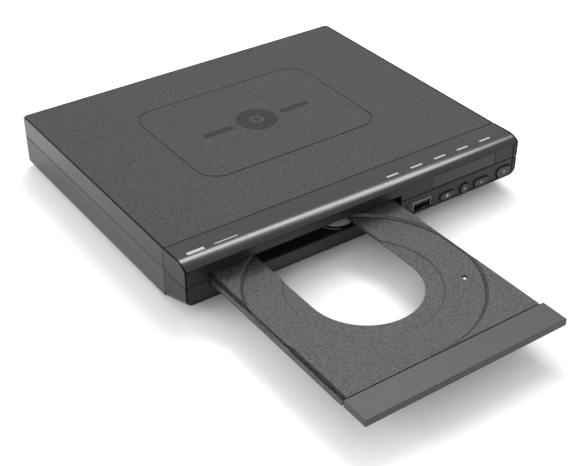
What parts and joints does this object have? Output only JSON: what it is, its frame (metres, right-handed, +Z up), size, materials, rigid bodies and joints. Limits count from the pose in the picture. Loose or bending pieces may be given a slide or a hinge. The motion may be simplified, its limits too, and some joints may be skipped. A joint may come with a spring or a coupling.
{
  "type": "disc player",
  "caption": "Compact tabletop disc player with its loading tray out, a sliding tray on a rack drive, a lifting turntable, a pickup, a magnetic clamp and push buttons.",
  "frame": {"origin": "bottom centre of the whole player with its tray out, on the surface that it stands on", "axes": "+X to the right of someone facing the front, +Y from the front to the back, +Z up"},
  "size_m": [0.225, 0.317, 0.0342],
  "materials": {
    "top_cover": "matte, fine moulded grain",
    "bottom_case": "satin",
    "rear_panel": "matte",
    "upper_bezel": "satin",
    "lower_bezel": "satin",
    "gloss_strip": "polished",
    "display_window": "smoked, polished",
    "stop_button": "satin",
    "play_button": "satin",
    "eject_button": "satin",
    "power_button": "satin",
    "media_socket": "plated",
    "media_tongue": "smooth",
    "front_board": "solder resist",
    "display_module": "smooth",
    "tact_switches": "smooth",
    "disc_tray": "fine moulded grain",
    "tray_door": "satin",
    "loader_chassis": "smooth",
    "loader_screws": "zinc plated",
    "loading_motor": "plated can",
    "motor_pulley": "smooth",
    "drive_belt": "ground",
    "pulley_gear": "smooth",
    "drive_gear": "smooth",
    "cam_slider": "smooth",
    "lift_frame": "smooth",
    "dampers": "matte",
    "damper_screws": "zinc plated",
    "traverse_plate": "zinc plated sheet",
    "spindle_motor": "plated can",
    "turntable": "smooth",
    "guide_rods": "ground",
    "pickup_sled": "die-cast, as moulded",
    "objective_lens": "coated",
    "feed_motor": "plated can",
    "lead_screw": "rolled",
    "clamp_bridge": "zinc plated sheet",
    "clamp_puck": "smooth",
    "clamp_magnet": "sintered",
    "main_board": "solder resist",
    "decoder_chips": "moulded resin",
    "av_sockets": "smooth",
    "video_socket": "plated",
    "power_board": "bare laminate",
    "transformer": "wound and taped",
    "capacitors": "sleeved",
    "heat_sink": "extruded",
    "mains_inlet": "matte",
    "ribbon_cable": "smooth",
    "board_screws": "zinc plated",
    "case_screws": "blackened",
    "rubber_feet": "matte"
  },
  "bodies": {
    "root": {"top_cover": "top_cover", "bottom_case": "bottom_case", "rear_panel": "rear_panel", "upper_bezel": "upper_bezel", "lower_bezel": "lower_bezel", "gloss_strip": "gloss_strip", "display_window": "display_window", "media_socket": "media_socket", "media_tongue": "media_tongue", "front_board": "front_board", "display_module": "display_module", "tact_switches": "tact_switches", "loader_chassis": "loader_chassis", "loader_screws": "loader_screws", "loading_motor": "loading_motor", "drive_belt": "drive_belt", "clamp_bridge": "clamp_bridge", "main_board": "main_board", "decoder_chips": "decoder_chips", "av_sockets": "av_sockets", "video_socket": "video_socket", "power_board": "power_board", "transformer": "transformer", "capacitors": "capacitors", "heat_sink": "heat_sink", "mains_inlet": "mains_inlet", "ribbon_cable": "ribbon_cable", "board_screws": "board_screws", "case_screws": "case_screws", "rubber_feet": "rubber_feet"},
    "tray": {"disc_tray": "disc_tray", "tray_door": "tray_door"},
    "motor_shaft": {"motor_pulley": "motor_pulley"},
    "pulley": {"pulley_gear": "pulley_gear"},
    "drive": {"drive_gear": "drive_gear"},
    "cam": {"cam_slider": "cam_slider"},
    "lift": {"lift_frame": "lift_frame", "dampers": "dampers", "damper_screws": "damper_screws", "traverse_plate": "traverse_plate", "spindle_motor": "spindle_motor", "guide_rods": "guide_rods", "feed_motor": "feed_motor"},
    "spindle": {"turntable": "turntable"},
    "pickup": {"pickup_sled": "pickup_sled"},
    "lens": {"objective_lens": "objective_lens"},
    "feed": {"lead_screw": "lead_screw"},
    "clamp": {"clamp_puck": "clamp_puck", "clamp_magnet": "clamp_magnet"},
    "stop_key": {"stop_button": "stop_button"},
    "play_key": {"play_button": "play_button"},
    "eject_key": {"eject_button": "eject_button"},
    "power_key": {"power_button": "power_button"}
  },
  "joints": [
    {"name": "tray_slide", "type": "slide", "parent": "root", "child": "tray", "axis": [0, 1, 0], "range_m": [0, 0.12525]},
    {"name": "drive_gear_spin", "type": "hinge", "parent": "root", "child": "drive", "pos_m": [0.0134, -0.00975, 0.014], "axis": [0, 0, 1], "range_deg": [0, 1104.15]},
    {"name": "pulley_gear_spin", "type": "hinge", "parent": "root", "child": "pulley", "pos_m": [-0.0018, -0.00975, 0.01], "axis": [0, 0, 1], "range_deg": [-2392.2, 0]},
    {"name": "motor_pulley_spin", "type": "hinge", "parent": "root", "child": "motor_shaft", "pos_m": [0.042, 0.00125, 0.01], "axis": [0, 0, 1], "range_deg": [-8372.45, 0]},
    {"name": "cam_slide", "type": "slide", "parent": "root", "child": "cam", "axis": [1, 0, 0], "range_m": [0, 0.012]},
    {"name": "traverse_lift", "type": "hinge", "parent": "root", "child": "lift", "pos_m": [-0.0361, 0.11625, 0.01245], "axis": [-1, 0, 0], "range_deg": [0, 2.73]},
    {"name": "spindle_spin", "type": "hinge", "parent": "lift", "child": "spindle", "pos_m": [-0.0361, 0.0457, 0.01709], "axis": [0, -0.0477, 0.9989], "continuous": true},
    {"name": "pickup_travel", "type": "slide", "parent": "lift", "child": "pickup", "axis": [0, 0.9989, 0.0477], "range_m": [0, 0.036]},
    {"name": "lead_screw_spin", "type": "hinge", "parent": "lift", "child": "feed", "pos_m": [-0.0169, 0.08624, 0.01192], "axis": [0, 0.9989, 0.0477], "range_deg": [0, 4320.1]},
    {"name": "lens_focus", "type": "slide", "parent": "pickup", "child": "lens", "axis": [0, -0.0477, 0.9989], "range_m": [-0.0004, 0.0004], "stiffness_N_per_m": 20},
    {"name": "clamp_spin", "type": "hinge", "parent": "root", "child": "clamp", "pos_m": [-0.0361, 0.046, 0.024], "axis": [0, 0, 1], "continuous": true},
    {"name": "stop_press", "type": "slide", "parent": "root", "child": "stop_key", "axis": [0, 1, 0], "range_m": [0, 0.0005], "stiffness_N_per_m": 1000},
    {"name": "play_press", "type": "slide", "parent": "root", "child": "play_key", "axis": [0, 1, 0], "range_m": [0, 0.0005], "stiffness_N_per_m": 1000},
    {"name": "eject_press", "type": "slide", "parent": "root", "child": "eject_key", "axis": [0, 1, 0], "range_m": [0, 0.0005], "stiffness_N_per_m": 1000},
    {"name": "power_press", "type": "slide", "parent": "root", "child": "power_key", "axis": [0, 1, 0], "range_m": [0, 0.0005], "stiffness_N_per_m": 1000}
  ],
  "couplings": [
    {"joint": "drive_gear_spin", "follows": "tray_slide", "rad_per_m": 153.85},
    {"joint": "pulley_gear_spin", "follows": "tray_slide", "rad_per_m": -333.33},
    {"joint": "motor_pulley_spin", "follows": "tray_slide", "rad_per_m": -1166.7},
    {"joint": "traverse_lift", "follows": "cam_slide", "rad_per_m": 3.9754},
    {"joint": "lead_screw_spin", "follows": "pickup_travel", "rad_per_m": 2094.4}
  ]
}
